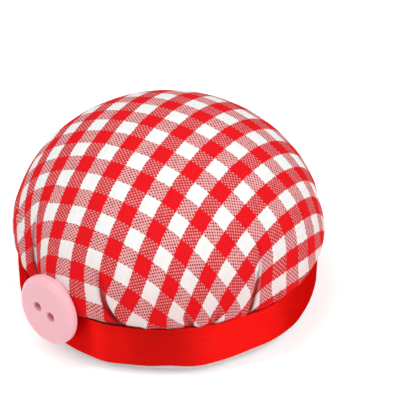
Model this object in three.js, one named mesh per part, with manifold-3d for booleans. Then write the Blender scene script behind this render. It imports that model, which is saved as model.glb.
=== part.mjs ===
// Wrist pincushion: a gathered gingham dome on a card base, ringed by a satin ribbon with a button,
// with a felt backing and an elastic strap that goes round the wrist.
// Millimetres, +Z up, table at z = 0. The front is -Y and the viewer's right is +X.
import * as THREE from "three";
import { mergeVertices } from "three/addons/utils/BufferGeometryUtils.js";
import Module from "manifold-3d";

// Gap between pieces that touch
const CLEARANCE = 0.3;

// Elastic strap: a flat run under the base, with both ends turned up through slots and glued inside
const STRAP_WIDTH = 20;
const STRAP_THICKNESS = 1.2;
const STRAP_TAB = 10;
const STRAP_MARGIN = 1.27;

// Felt backing disc
const FELT_THICKNESS = 0.8;
const FELT_INSET = 0.1;

// Satin ribbon round the base, its ends lapped behind the button
const RIBBON_WIDTH = 10;
const RIBBON_THICKNESS = 0.5;
const RIBBON_LAP = 18;
const RIBBON_RAMP = 14;

// Gathered cover: an elliptical crown that swells out over the ribbon's top edge
const DOME_RADIUS = 32.64;
const DOME_OVERHANG = 0.94;
const DOME_RISE = 27.4;
const DOME_SWELL = 1.4;
const COVER_THICKNESS = 0.8;
const HEM_THICKNESS = 2.4;
const HEM_MARGIN = 1;
const HEM_CORNER = 1.2;

// Tucks where the cloth is drawn in above the ribbon: degrees right of the front, depth share, rise
const TUCKS = [
  { azimuth: -160, depth: 0.8, rise: 14 },
  { azimuth: -112, depth: 0.9, rise: 13 },
  { azimuth: -68, depth: 1.0, rise: 16 },
  { azimuth: -21, depth: 1.0, rise: 15 },
  { azimuth: 33, depth: 1.0, rise: 15 },
  { azimuth: 78, depth: 0.9, rise: 13 },
  { azimuth: 118, depth: 0.8, rise: 15 },
  { azimuth: 157, depth: 1.0, rise: 14 },
];
const TUCK_HALF_WIDTH = 9;
const TUCK_COLUMNS = [-1, -0.4, 0, 0.4, 1];
const PLAIN_STEP = 9;

// Card disc inside the cover
const CARD_THICKNESS = 2;

// Drawn thread that gathers the hem
const THREAD_RADIUS = 0.45;
const THREAD_WAVE = 0.4;
const THREAD_WAVES = 14;

// Two-hole button, leaning back a little
const BUTTON_DIAMETER = 15.2;
const BUTTON_THICKNESS = 2.6;
const BUTTON_DISH = 0.6;
const BUTTON_RIM = 1.5;
const BUTTON_EDGE = 0.8;
const BUTTON_HOLE_DIAMETER = 2;
const BUTTON_HOLE_SPACING = 3.85;
const BUTTON_AZIMUTH = -44.5;
const BUTTON_LEAN = 4.8;
const BUTTON_TURN = -8.6;
const BUTTON_HEIGHT = 9.4;

// Dab of glue between the ribbon and the button's back
const GLUE_DIAMETER = 5;
const GLUE_DROP = 4.4;

const ROUND = 48;
const DOME_STEPS = 7;
const SWELL_STEPS = 3;

// Heights and radii that follow from the sizes above
const feltBottom = STRAP_THICKNESS + CLEARANCE;
const feltTop = feltBottom + FELT_THICKNESS;
const ribbonBottom = feltTop + CLEARANCE;
const ribbonTop = ribbonBottom + RIBBON_WIDTH;
const ribbonRadius = DOME_RADIUS - DOME_OVERHANG;
const ribbonInner = ribbonRadius - RIBBON_THICKNESS;
const lapRise = RIBBON_THICKNESS + CLEARANCE;
const sideRadius = ribbonInner - CLEARANCE;
const hemBottom = feltTop + CLEARANCE;
const hemTop = hemBottom + HEM_THICKNESS;
const swellBottom = ribbonTop + CLEARANCE;
const widest = swellBottom + DOME_SWELL;
const crown = widest + DOME_RISE;
const tuckDepth = DOME_RADIUS - sideRadius;
const cavityRadius = sideRadius - COVER_THICKNESS;
const cavityCrown = crown - COVER_THICKNESS;
const cardBottom = hemTop + CLEARANCE;
const cardTop = cardBottom + CARD_THICKNESS;
const stuffingBottom = cardTop + CLEARANCE;
const tabBottom = feltTop + CLEARANCE;
const tabTop = tabBottom + STRAP_THICKNESS;
const slotReach = sideRadius - HEM_CORNER - STRAP_MARGIN;
const strapHalfSpan = Math.sqrt(slotReach ** 2 - (STRAP_WIDTH / 2 + CLEARANCE) ** 2) - CLEARANCE;
const slotInner = strapHalfSpan - STRAP_THICKNESS;
const tabInner = slotInner - STRAP_TAB;
const hemHoleRadius = tabInner - HEM_MARGIN;

const wasm = await Module();
wasm.setup();

// Leaves only welded positions, without the slivers that a lathe makes on its axis
function weld(geometry) {
  const bare = geometry.clone();
  bare.deleteAttribute("normal");
  bare.deleteAttribute("uv");
  const merged = mergeVertices(bare, 1e-3);
  const index = Array.from(merged.index.array);
  const kept = [];
  for (let i = 0; i < index.length; i += 3) {
    const [a, b, c] = index.slice(i, i + 3);
    if (a !== b && b !== c && c !== a) kept.push(a, b, c);
  }
  merged.setIndex(kept);
  return merged;
}

function toSolid(geometry) {
  const welded = weld(geometry);
  const vertProperties = new Float32Array(welded.attributes.position.array);
  const triVerts = new Uint32Array(welded.index.array);
  return new wasm.Manifold(new wasm.Mesh({ numProp: 3, vertProperties, triVerts }));
}

function fromSolid(solid) {
  const mesh = solid.getMesh();
  const geometry = new THREE.BufferGeometry();
  geometry.setAttribute("position", new THREE.BufferAttribute(mesh.vertProperties, 3));
  geometry.setIndex(new THREE.BufferAttribute(mesh.triVerts, 1));
  geometry.computeVertexNormals();
  return geometry;
}

function subtract(geometry, cutters) {
  let solid = toSolid(geometry);
  for (const cutter of cutters) solid = solid.subtract(toSolid(cutter));
  return fromSolid(solid);
}

// A profile of [radius, height] pairs, from the axis at the bottom to the axis at the top, turned round Z
function turned(profile, segments = ROUND) {
  const points = profile.map(([radius, height]) => new THREE.Vector2(radius, height));
  const geometry = weld(new THREE.LatheGeometry(points, segments).rotateX(Math.PI / 2));
  geometry.computeVertexNormals();
  return geometry;
}

function disc(radius, bottom, thickness) {
  return turned([[0, bottom], [radius, bottom], [radius, bottom + thickness], [0, bottom + thickness]]);
}

function box(xFrom, xTo, width, zFrom, zTo) {
  const geometry = new THREE.BoxGeometry(xTo - xFrom, width, zTo - zFrom);
  return geometry.translate((xFrom + xTo) / 2, 0, (zFrom + zTo) / 2);
}

// A quarter ellipse from the widest ring up to the axis
function quarter(radius, rise, bottom, steps) {
  const points = [];
  for (let i = 0; i <= steps; i += 1) {
    const angle = (i / steps) * (Math.PI / 2);
    points.push([i === steps ? 0 : radius * Math.cos(angle), bottom + rise * Math.sin(angle)]);
  }
  return points;
}

// The cover's outline from the hem up to the crown, as rings of radius, height
function coverRings() {
  const rings = [
    [sideRadius - HEM_CORNER, hemBottom],
    [sideRadius - HEM_CORNER * 0.3, hemBottom + HEM_CORNER * 0.3],
    [sideRadius, hemBottom + HEM_CORNER],
    [sideRadius, swellBottom],
  ];
  for (let i = 1; i < SWELL_STEPS; i += 1) {
    const angle = (i / SWELL_STEPS) * (Math.PI / 2);
    rings.push([
      sideRadius + (DOME_RADIUS - sideRadius) * Math.sin(angle),
      widest - DOME_SWELL * Math.cos(angle),
    ]);
  }
  return rings.concat(quarter(DOME_RADIUS, DOME_RISE, widest, DOME_STEPS));
}

function wrap(degrees) {
  return ((((degrees + 180) % 360) + 360) % 360) - 180;
}

// Columns stand close together across each tuck and evenly between the tucks
function coverColumns() {
  const columns = [];
  for (const tuck of TUCKS) {
    for (const share of TUCK_COLUMNS) columns.push(wrap(tuck.azimuth + share * TUCK_HALF_WIDTH));
  }
  const free = (azimuth) => TUCKS.every((tuck) => {
    return Math.abs(wrap(azimuth - tuck.azimuth)) > TUCK_HALF_WIDTH + PLAIN_STEP * 0.4;
  });
  for (let azimuth = -180; azimuth < 180; azimuth += PLAIN_STEP) {
    if (free(azimuth)) columns.push(azimuth);
  }
  return columns.sort((a, b) => a - b);
}

// How far the tucks draw the cloth in at one point, as a share of the full depth
function drawnIn(azimuth, height) {
  let share = 0;
  for (const tuck of TUCKS) {
    const across = Math.abs(wrap(azimuth - tuck.azimuth)) / TUCK_HALF_WIDTH;
    const up = Math.max(height - swellBottom, 0) / tuck.rise;
    if (across < 1 && up < 1) {
      share = Math.max(share, tuck.depth * (1 - across) ** 1.4 * (1 - up) ** 1.6);
    }
  }
  return share;
}

function coverOutside() {
  const rings = coverRings();
  const columns = coverColumns();
  const positions = [0, 0, hemBottom];
  for (const [radius, height] of rings.slice(0, -1)) {
    const depth = Math.max(Math.min(radius - sideRadius, tuckDepth), 0);
    const swell = height > swellBottom + 1e-6 ? (height > widest ? tuckDepth : depth) : 0;
    for (const azimuth of columns) {
      const r = radius - swell * drawnIn(azimuth, height);
      const angle = THREE.MathUtils.degToRad(azimuth);
      positions.push(r * Math.sin(angle), -r * Math.cos(angle), height);
    }
  }
  positions.push(0, 0, crown);
  const around = columns.length;
  const bands = rings.length - 1;
  const at = (ring, column) => 1 + ring * around + (column % around);
  const top = 1 + bands * around;
  const index = [];
  for (let column = 0; column < around; column += 1) {
    index.push(0, at(0, column + 1), at(0, column));
    for (let ring = 0; ring < bands - 1; ring += 1) {
      index.push(at(ring, column), at(ring, column + 1), at(ring + 1, column + 1));
      index.push(at(ring, column), at(ring + 1, column + 1), at(ring + 1, column));
    }
    index.push(at(bands - 1, column), at(bands - 1, column + 1), top);
  }
  const geometry = new THREE.BufferGeometry();
  geometry.setAttribute("position", new THREE.Float32BufferAttribute(positions, 3));
  geometry.setIndex(index);
  return geometry;
}

// The inside of the cover, and with a gap the stuffing that fills it
function domeInside(bottom, gap) {
  const radius = cavityRadius - gap;
  const rise = cavityCrown - gap - widest;
  return turned([[0, bottom], [radius, bottom]].concat(quarter(radius, rise, widest, DOME_STEPS)));
}

function tabRecess(side) {
  const inner = tabInner - CLEARANCE;
  const outer = strapHalfSpan + CLEARANCE;
  const [from, to] = side > 0 ? [inner, outer] : [-outer, -inner];
  return box(from, to, STRAP_WIDTH + 2 * CLEARANCE, hemBottom - 1, tabTop + CLEARANCE);
}

function coverGeometry() {
  const hole = disc(hemHoleRadius, hemBottom - 1, HEM_THICKNESS + 2);
  return subtract(coverOutside(), [domeInside(hemTop, 0), hole, tabRecess(1), tabRecess(-1)]);
}

// A band that winds once round and laps over its own start
function ribbonGeometry() {
  const start = BUTTON_AZIMUTH - RIBBON_LAP / 2;
  const sweep = 360 + RIBBON_LAP;
  const steps = 90;
  const inside = [];
  const outside = [];
  for (let i = 0; i <= steps; i += 1) {
    const turn = (i / steps) * sweep;
    const ramp = THREE.MathUtils.smoothstep(turn, 360 - RIBBON_RAMP, 360);
    const radius = ribbonInner + lapRise * ramp;
    const angle = THREE.MathUtils.degToRad(start + turn);
    const direction = new THREE.Vector2(Math.sin(angle), -Math.cos(angle));
    inside.push(direction.clone().multiplyScalar(radius));
    outside.push(direction.clone().multiplyScalar(radius + RIBBON_THICKNESS));
  }
  const shape = new THREE.Shape(outside.concat(inside.reverse()));
  const geometry = new THREE.ExtrudeGeometry(shape, { depth: RIBBON_WIDTH, bevelEnabled: false });
  return geometry.translate(0, 0, ribbonBottom);
}

function feltSlot(side) {
  const inner = slotInner - CLEARANCE;
  const outer = strapHalfSpan + CLEARANCE;
  const [from, to] = side > 0 ? [inner, outer] : [-outer, -inner];
  return box(from, to, STRAP_WIDTH + 2 * CLEARANCE, feltBottom - 1, feltTop + 1);
}

function feltGeometry() {
  const plain = disc(ribbonRadius - FELT_INSET, feltBottom, FELT_THICKNESS);
  return subtract(plain, [feltSlot(1), feltSlot(-1)]);
}

// One end of the strap: up through the slot, then turned in over the felt
function strapEndGeometry(side) {
  const profile = new THREE.Shape();
  profile.moveTo(slotInner, feltBottom);
  profile.lineTo(strapHalfSpan, feltBottom);
  profile.lineTo(strapHalfSpan, tabTop);
  profile.lineTo(tabInner, tabTop);
  profile.lineTo(tabInner, tabBottom);
  profile.lineTo(slotInner, tabBottom);
  const geometry = new THREE.ExtrudeGeometry(profile, { depth: STRAP_WIDTH, bevelEnabled: false });
  geometry.rotateX(Math.PI / 2).translate(0, STRAP_WIDTH / 2, 0);
  return side > 0 ? geometry : geometry.rotateZ(Math.PI);
}

// The thread waves in and out of the hem's inner edge
function threadGeometry() {
  const ring = hemHoleRadius - THREAD_RADIUS - CLEARANCE;
  const geometry = weld(new THREE.TorusGeometry(ring, THREAD_RADIUS, 6, THREAD_WAVES * 4));
  const position = geometry.attributes.position;
  for (let i = 0; i < position.count; i += 1) {
    const angle = Math.atan2(position.getY(i), position.getX(i));
    position.setZ(i, position.getZ(i) + THREAD_WAVE * Math.sin(THREAD_WAVES * angle));
  }
  geometry.translate(0, 0, (feltTop + cardBottom) / 2);
  geometry.computeVertexNormals();
  return geometry;
}

// The button stands on its back at z = 0, its face towards +Z
function buttonGeometry() {
  const radius = BUTTON_DIAMETER / 2;
  const face = BUTTON_THICKNESS - BUTTON_DISH;
  const body = turned([
    [0, 0],
    [radius - BUTTON_EDGE, 0],
    [radius, BUTTON_EDGE],
    [radius, BUTTON_THICKNESS - BUTTON_EDGE],
    [radius - BUTTON_EDGE * 0.4, BUTTON_THICKNESS - BUTTON_EDGE * 0.25],
    [radius - BUTTON_EDGE, BUTTON_THICKNESS],
    [radius - BUTTON_RIM, BUTTON_THICKNESS],
    [radius - BUTTON_RIM - BUTTON_DISH, face],
    [0, face],
  ]);
  const holes = [-1, 1].map((side) => {
    const hole = new THREE.CylinderGeometry(
      BUTTON_HOLE_DIAMETER / 2, BUTTON_HOLE_DIAMETER / 2, BUTTON_THICKNESS * 3, 16,
    );
    return hole.rotateX(Math.PI / 2).translate((side * BUTTON_HOLE_SPACING) / 2, 0, 0);
  });
  return subtract(body, holes);
}

// Distance of the button's back from the axis, so that it clears the cloth and the lapped ribbon
function buttonSeat(height) {
  const lean = THREE.MathUtils.degToRad(BUTTON_LEAN);
  const reach = (BUTTON_DIAMETER / 2) * Math.cos(lean);
  const lap = ribbonRadius + lapRise;
  const outline = coverRings().concat([[lap, ribbonTop]]);
  const near = outline.filter(([, z]) => Math.abs(z - height) < reach + DOME_SWELL);
  const needs = near.map(([radius, z]) => radius + (z - height) * Math.tan(lean));
  return Math.max(...needs) + CLEARANCE / Math.cos(lean);
}

function material(color, roughness) {
  return new THREE.MeshStandardMaterial({ color, roughness, metalness: 0 });
}

function piece(name, geometry, color, roughness) {
  const mesh = new THREE.Mesh(geometry, material(color, roughness));
  mesh.name = name;
  return mesh;
}

const group = new THREE.Group();

const strapGeometry = box(-strapHalfSpan, strapHalfSpan, STRAP_WIDTH, 0, STRAP_THICKNESS);
const cardDisc = disc(cavityRadius - CLEARANCE, cardBottom, CARD_THICKNESS);
group.add(piece("wrist_strap", strapGeometry, "#f2f0ec", 0.85));
group.add(piece("strap_end_left", strapEndGeometry(-1), "#f2f0ec", 0.85));
group.add(piece("strap_end_right", strapEndGeometry(1), "#f2f0ec", 0.85));
group.add(piece("felt_backing", feltGeometry(), "#f7f5f1", 0.95));
group.add(piece("gathering_thread", threadGeometry(), "#f4f2ee", 0.8));
group.add(piece("base_card", cardDisc, "#b9b2a6", 0.9));
group.add(piece("stuffing", domeInside(stuffingBottom, CLEARANCE), "#fbfaf7", 0.95));
group.add(piece("gingham_cover", coverGeometry(), "#e8323a", 0.9));
group.add(piece("satin_ribbon", ribbonGeometry(), "#e0141a", 0.35));

// The button and its glue share one leaning frame behind which the ribbon's ends lap
const buttonZ = ribbonBottom + BUTTON_HEIGHT;
const seat = buttonSeat(buttonZ);
const lean = THREE.MathUtils.degToRad(BUTTON_LEAN);
const bearing = THREE.MathUtils.degToRad(BUTTON_AZIMUTH);

const swing = new THREE.Group();
swing.rotation.z = bearing;
const stand = new THREE.Group();
stand.position.set(0, -seat, buttonZ);
stand.rotation.x = Math.PI / 2 - lean;

const button = piece("button", buttonGeometry(), "#f7b9c4", 0.25);
button.rotation.z = THREE.MathUtils.degToRad(BUTTON_TURN);
stand.add(button);

const glueTop = GLUE_DIAMETER / 2 - GLUE_DROP;
const lapGap = seat - glueTop * Math.tan(lean) - ribbonRadius - lapRise;
const glueThickness = lapGap * Math.cos(lean) - 2 * CLEARANCE;
const glue = piece("glue_dab", disc(GLUE_DIAMETER / 2, 0, glueThickness), "#f1ece0", 0.4);
glue.position.set(0, -GLUE_DROP, -CLEARANCE - glueThickness);
stand.add(glue);

swing.add(stand);
group.add(swing);

export default group;
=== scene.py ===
# Wrist pincushion: gathered gingham dome, satin ribbon, button, felt backing and elastic wrist strap.
import math

import bmesh
import bpy
import numpy as np
from mathutils import Matrix, Vector, kdtree


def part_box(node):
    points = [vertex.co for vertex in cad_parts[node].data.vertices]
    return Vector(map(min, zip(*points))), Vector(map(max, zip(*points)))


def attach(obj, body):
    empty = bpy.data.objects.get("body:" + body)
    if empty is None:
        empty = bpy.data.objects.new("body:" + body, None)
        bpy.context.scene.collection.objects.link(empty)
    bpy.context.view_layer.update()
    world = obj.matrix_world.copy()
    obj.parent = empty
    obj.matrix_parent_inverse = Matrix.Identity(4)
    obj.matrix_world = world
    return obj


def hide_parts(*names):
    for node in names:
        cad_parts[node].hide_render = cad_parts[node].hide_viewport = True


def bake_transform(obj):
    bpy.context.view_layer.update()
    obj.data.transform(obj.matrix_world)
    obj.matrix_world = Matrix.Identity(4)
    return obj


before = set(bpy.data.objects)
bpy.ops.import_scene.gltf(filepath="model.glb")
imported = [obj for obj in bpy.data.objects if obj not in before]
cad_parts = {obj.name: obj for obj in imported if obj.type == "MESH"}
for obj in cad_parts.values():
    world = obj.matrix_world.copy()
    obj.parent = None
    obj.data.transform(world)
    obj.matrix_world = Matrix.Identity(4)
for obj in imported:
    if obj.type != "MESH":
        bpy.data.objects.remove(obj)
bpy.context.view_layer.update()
MM = 0.001

# Sizes in millimetres, read from the solids

def millimetres(box):
    """A box's lowest and highest corners, turned from metres into millimetres."""
    return (np.array(corner) / MM for corner in box)


ribbon_lo, ribbon_hi = millimetres(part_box("satin_ribbon"))
cover_lo, cover_hi = millimetres(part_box("gingham_cover"))
felt_lo, felt_hi = millimetres(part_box("felt_backing"))
strap_lo, strap_hi = millimetres(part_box("wrist_strap"))
tab_lo, tab_hi = millimetres(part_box("strap_end_right"))
button_lo, button_hi = millimetres(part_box("button"))
stuffing_lo, stuffing_hi = millimetres(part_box("stuffing"))

RIBBON_BOTTOM = ribbon_lo[2]
RIBBON_TOP = ribbon_hi[2]
RIBBON_RADIUS = ribbon_hi[0]
CROWN = cover_hi[2]
HEM_BOTTOM = cover_lo[2]

# The cover: its widest ring and how far that is above the ribbon, its side behind the ribbon, its hem
DOME_RADIUS = 32.64
SWELL_HEIGHT = 1.7
RIBBON_DEPTH = 0.6
HEM_RADIUS = 22.0
CLOTH_THICKNESS = 0.35
SIDE_RADIUS = RIBBON_RADIUS - RIBBON_DEPTH
WIDEST = RIBBON_TOP + SWELL_HEIGHT
DOME_RISE = CROWN - WIDEST


def smooth(x, low, high):
    t = np.clip((np.asarray(x, float) - low) / (high - low), 0, 1)
    return t * t * (3 - 2 * t)


def wrap(degrees):
    return (np.asarray(degrees, float) + 180) % 360 - 180


def around(radius, azimuth, height):
    """Points at a radius, an azimuth in degrees right of the front, and a height."""
    radius, angle, height = np.broadcast_arrays(radius, np.radians(azimuth), height)
    return np.stack([radius * np.sin(angle), -radius * np.cos(angle), height], -1)


# Meshes

def make_object(name, points, faces, uv=None):
    """A smooth mesh from points in millimetres, with uv given for each point."""
    mesh = bpy.data.meshes.new(name)
    mesh.from_pydata((np.asarray(points) * MM).tolist(), [], faces)
    mesh.polygons.foreach_set("use_smooth", [True] * len(mesh.polygons))
    if uv is not None:
        layer = mesh.uv_layers.new(name="cloth")
        corner = np.empty(len(mesh.loops), dtype=np.int32)
        mesh.loops.foreach_get("vertex_index", corner)
        layer.data.foreach_set("uv", np.asarray(uv, np.float32)[corner].ravel())
    mesh.update()
    obj = bpy.data.objects.new(name, mesh)
    bpy.context.collection.objects.link(obj)
    return obj


def grid_faces(rows, columns, close_columns=False, close_rows=False):
    """Quads over a grid, wound so that rows going up and columns going right face out."""
    faces = []
    for row in range(rows if close_rows else rows - 1):
        above = (row + 1) % rows
        for column in range(columns if close_columns else columns - 1):
            right = (column + 1) % columns
            faces.append((
                row * columns + column,
                row * columns + right,
                above * columns + right,
                above * columns + column,
            ))
    return faces


def capped_faces(rows, columns):
    """Faces of a closed form whose rings run down from the crown, with one more point at each end."""
    faces = [tuple(reversed(face)) for face in grid_faces(rows, columns, close_columns=True)]
    top = rows * columns
    last = top - columns
    faces += [(c, (c + 1) % columns, top) for c in range(columns)]
    faces += [(last + (c + 1) % columns, last + c, top + 1) for c in range(columns)]
    return faces


def object_from(bm, name):
    """An object with the mesh built in a bmesh, which is freed."""
    mesh = bpy.data.meshes.new(name)
    bm.to_mesh(mesh)
    bm.free()
    obj = bpy.data.objects.new(name, mesh)
    bpy.context.collection.objects.link(obj)
    return obj


def even_steps(points, count):
    """A polyline resampled at equal arc length, with its arc length."""
    points = np.asarray(points, float)
    length = np.concatenate([[0], np.cumsum(np.linalg.norm(np.diff(points, axis=0), axis=1))])
    at = np.linspace(0, length[-1], count)
    return np.stack([np.interp(at, length, points[:, k]) for k in range(points.shape[1])], -1), at


# Materials

class Nodes:
    """Short ways to add shader nodes to a material or a world."""

    def __init__(self, owner, shader):
        owner.use_nodes = True
        self.owner = owner
        self.tree = owner.node_tree
        self.shader = self.tree.nodes[shader]

    def add(self, kind, **settings):
        node = self.tree.nodes.new(kind)
        for key, value in settings.items():
            setattr(node, key, value)
        return node

    def plug(self, source, socket):
        """Link an output, or set a number or a colour."""
        if hasattr(source, "is_output"):
            self.tree.links.new(source, socket)
        else:
            socket.default_value = (*source, 1.0) if isinstance(source, tuple) else source

    def math(self, operation, a, b=0.0, c=0.0):
        node = self.add("ShaderNodeMath", operation=operation)
        for socket, value in zip(node.inputs, (a, b, c)):
            self.plug(value, socket)
        return node.outputs[0]

    def ramp(self, value, low, high, to_low=0.0, to_high=1.0):
        node = self.add("ShaderNodeMapRange", interpolation_type="SMOOTHSTEP")
        for socket, source in zip(node.inputs, (value, low, high, to_low, to_high)):
            self.plug(source, socket)
        return node.outputs[0]

    def mix(self, factor, a, b, blend="MIX"):
        node = self.add("ShaderNodeMix", data_type="RGBA", blend_type=blend)
        for index, value in ((0, factor), (6, a), (7, b)):
            self.plug(value, node.inputs[index])
        return node.outputs[2]

    def noise(self, scale, detail, roughness=0.5):
        node = self.add("ShaderNodeTexNoise")
        node.inputs["Scale"].default_value = scale
        node.inputs["Detail"].default_value = detail
        node.inputs["Roughness"].default_value = roughness
        self.plug(self.add("ShaderNodeTexCoord").outputs["Object"], node.inputs["Vector"])
        return node.outputs[0]

    def uv(self):
        split = self.add("ShaderNodeSeparateXYZ")
        self.plug(self.add("ShaderNodeUVMap", uv_map="cloth").outputs[0], split.inputs[0])
        return split.outputs[0], split.outputs[1]

    def stored(self, label):
        """A value painted on the mesh."""
        return self.add("ShaderNodeAttribute", attribute_name=label).outputs["Fac"]

    def random(self, x, y):
        both = self.add("ShaderNodeCombineXYZ")
        self.plug(x, both.inputs[0])
        self.plug(y, both.inputs[1])
        node = self.add("ShaderNodeTexWhiteNoise", noise_dimensions="2D")
        self.plug(both.outputs[0], node.inputs["Vector"])
        return node.outputs[0]

    def bump(self, height, distance, strength):
        node = self.add("ShaderNodeBump")
        node.inputs["Strength"].default_value = strength
        node.inputs["Distance"].default_value = distance
        self.plug(height, node.inputs["Height"])
        self.plug(node.outputs[0], self.shader.inputs["Normal"])

    def set(self, **values):
        for key, value in values.items():
            self.plug(value, self.shader.inputs[key.replace("_", " ")])


def new_material(name):
    return Nodes(bpy.data.materials.new(name), "Principled BSDF")


# Gingham: threads in a check both ways, how ragged a stripe's edge is in checks, how uneven the dots of the
# weave are, and how strongly the painted shade darkens a crease
THREADS_ACROSS = 8.0
THREADS_ALONG = 10.0
RAGGED = 0.05
UNEVEN = 0.34
CREASE_SHADE_STRENGTH = 0.92


def gingham_material():
    """Plain weave with red and white stripes both ways. The uv counts checks."""
    white, white_dot = (0.95, 0.95, 0.93), (0.93, 0.93, 0.91)
    red, red_dot = (0.87, 0.010, 0.016), (0.80, 0.009, 0.014)
    steep_mixed, steep_dot = (0.60, 0.038, 0.045), (0.93, 0.29, 0.29)
    shallow_mixed, shallow_dot = (0.89, 0.41, 0.41), (0.25, 0.010, 0.020)
    bounce_tint = (1.0, 0.82, 0.82)
    painted_shade_red = (0.20, 0.008, 0.012)
    n = new_material("gingham")
    u, v = n.uv()
    thread_u = n.math("MULTIPLY", u, THREADS_ACROSS)
    thread_v = n.math("MULTIPLY", v, THREADS_ALONG)
    column, row = n.math("FLOOR", thread_u), n.math("FLOOR", thread_v)

    def is_red(count, thread, seed):
        """1 in a red stripe, whose edge differs a little from thread to thread."""
        edge = n.math("ADD", count, n.math("MULTIPLY_ADD", n.random(thread, seed), RAGGED, -RAGGED / 2))
        return n.math("FLOORED_MODULO", n.math("FLOOR", edge), 2.0)

    steep_red = is_red(u, row, 3.0)
    shallow_red = is_red(v, column, 7.0)
    wave_u = n.math("SINE", n.math("MULTIPLY", thread_u, math.pi))
    wave_v = n.math("SINE", n.math("MULTIPLY", thread_v, math.pi))
    weave = n.math("MULTIPLY", wave_u, wave_v)
    uneven = n.math("MULTIPLY_ADD", n.random(column, row), UNEVEN, -UNEVEN / 2)
    uneven = n.math("ADD", weave, uneven)
    dot = n.mix(shallow_red, n.ramp(uneven, -0.12, -0.36), n.ramp(uneven, -0.20, -0.44))
    ground = n.mix(shallow_red, n.mix(steep_red, white, steep_mixed), n.mix(steep_red, shallow_mixed, red))
    dots = n.mix(shallow_red, n.mix(steep_red, white_dot, steep_dot), n.mix(steep_red, shallow_dot, red_dot))
    cloth = n.mix(dot, ground, dots)
    slub = n.random(column, n.math("FLOOR", n.math("MULTIPLY", v, 0.7)))
    tone = n.math("MULTIPLY_ADD", slub, 0.05, 0.97)
    shade = n.add("ShaderNodeCombineColor")
    for socket in shade.inputs:
        n.plug(tone, socket)
    cloth = n.mix(1.0, cloth, shade.outputs[0], "MULTIPLY")
    # Painted bounce light: the cloth turns pink low down, near the red ribbon
    cloth = n.mix(n.stored("painted_bounce"), cloth, n.mix(1.0, cloth, bounce_tint, "MULTIPLY"))
    # Painted shade: the cloth's colour goes towards dark red in the creases of the tucks and along the
    # cover's edge above the ribbon
    cloth = n.mix(n.math("MULTIPLY", n.stored("crease_shade"), CREASE_SHADE_STRENGTH), cloth, painted_shade_red)
    n.set(Base_Color=cloth, Roughness=0.9, Specular_IOR_Level=0.06)
    n.bump(n.math("POWER", n.math("ABSOLUTE", weave), 0.6), 0.00006, 0.6)
    return n.owner


def satin_material():
    """Warp-faced satin: colour in the gloss, fine slanted ribs, threads along the ribbon."""
    n = new_material("satin")
    u, v = n.uv()
    slant = n.math("ADD", n.math("MULTIPLY", u, 0.5), n.math("MULTIPLY", v, 1.75))
    rib = n.math("SINE", n.math("MULTIPLY", slant, 2 * math.pi))
    thread = n.math("FLOOR", n.math("MULTIPLY", v, 4.0))
    streak = n.random(thread, n.math("FLOOR", n.math("MULTIPLY", u, 0.2)))
    tone = n.math("ADD", n.math("MULTIPLY", rib, 0.36), n.math("MULTIPLY_ADD", streak, 0.16, 0.50))
    n.set(Base_Color=n.mix(tone, (0.80, 0.008, 0.007), (1.0, 0.018, 0.014)))
    n.set(Metallic=0.85, Roughness=0.6, Anisotropic=0.95, Anisotropic_Rotation=0.25, Specular_IOR_Level=0.0)
    n.set(Specular_Tint=(0.9, 0.012, 0.009))
    tangent = n.add("ShaderNodeTangent", direction_type="UV_MAP", uv_map="cloth")
    n.plug(tangent.outputs[0], n.shader.inputs["Tangent"])
    n.bump(rib, 0.00004, 0.8)
    return n.owner


def button_material():
    """Pink plastic with a faint cloud in its colour and gloss."""
    n = new_material("button_pink")
    cloud = n.noise(60.0, 1.0)
    n.set(Base_Color=n.mix(cloud, (0.985, 0.515, 0.575), (0.99, 0.52, 0.58)))
    n.set(Roughness=n.ramp(cloud, 0.3, 0.7, 0.27, 0.29), Specular_IOR_Level=0.45)
    return n.owner


def felt_material():
    n = new_material("felt")
    fluff = n.noise(1400.0, 6.0, roughness=0.7)
    n.set(Base_Color=n.mix(fluff, (0.78, 0.77, 0.74), (0.90, 0.89, 0.87)), Roughness=0.96, Sheen_Weight=0.4)
    n.bump(fluff, 0.00015, 0.8)
    return n.owner


def elastic_material():
    """Knitted elastic: rubber cores along the strap, a fine rib across."""
    core_spacing, knit_spacing = 1.1, 0.7
    n = new_material("elastic")
    u, v = n.uv()
    core = n.math("SINE", n.math("MULTIPLY", v, 2 * math.pi / core_spacing))
    knit = n.math("SINE", n.math("MULTIPLY", u, 2 * math.pi / knit_spacing))
    height = n.math("ADD", n.math("MULTIPLY", core, 0.6), n.math("MULTIPLY", knit, 0.4))
    n.set(Base_Color=n.mix(n.ramp(height, -1.0, 1.0), (0.66, 0.65, 0.63), (0.88, 0.87, 0.85)))
    n.set(Roughness=0.8, Sheen_Weight=0.2)
    n.bump(height, 0.0001, 0.8)
    return n.owner


def speckled_material(name, low, high, scale, roughness, bump_depth):
    n = new_material(name)
    speck = n.noise(scale, 5.0, roughness=0.65)
    n.set(Base_Color=n.mix(speck, low, high), Roughness=roughness)
    n.bump(speck, bump_depth, 0.7)
    return n.owner


# Gingham draped over the crown: threads of fixed length that cross at right angles on top and shear below.
# NET_AZIMUTH is one thread's direction. A crossing that misses its step by more than NET_SLACK is left out

NET_AZIMUTH = 57.5
NET_STEP = 1.0
NET_REACH = 54
NET_ROUNDS = 12
NET_SLACK = 0.05
MERIDIAN_END = 125
DOME_CENTRE = np.array([0, 0, WIDEST])
DOME_AXES = np.array([DOME_RADIUS, DOME_RADIUS, DOME_RISE])


def meridian_table():
    angle = np.linspace(0, math.radians(MERIDIAN_END), 3000)
    line = np.stack([DOME_RADIUS * np.sin(angle), WIDEST + DOME_RISE * np.cos(angle)], -1)
    arc = np.concatenate([[0], np.cumsum(np.linalg.norm(np.diff(line, axis=0), axis=1))])
    return arc, line


ARC, MERIDIAN = meridian_table()


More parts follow.
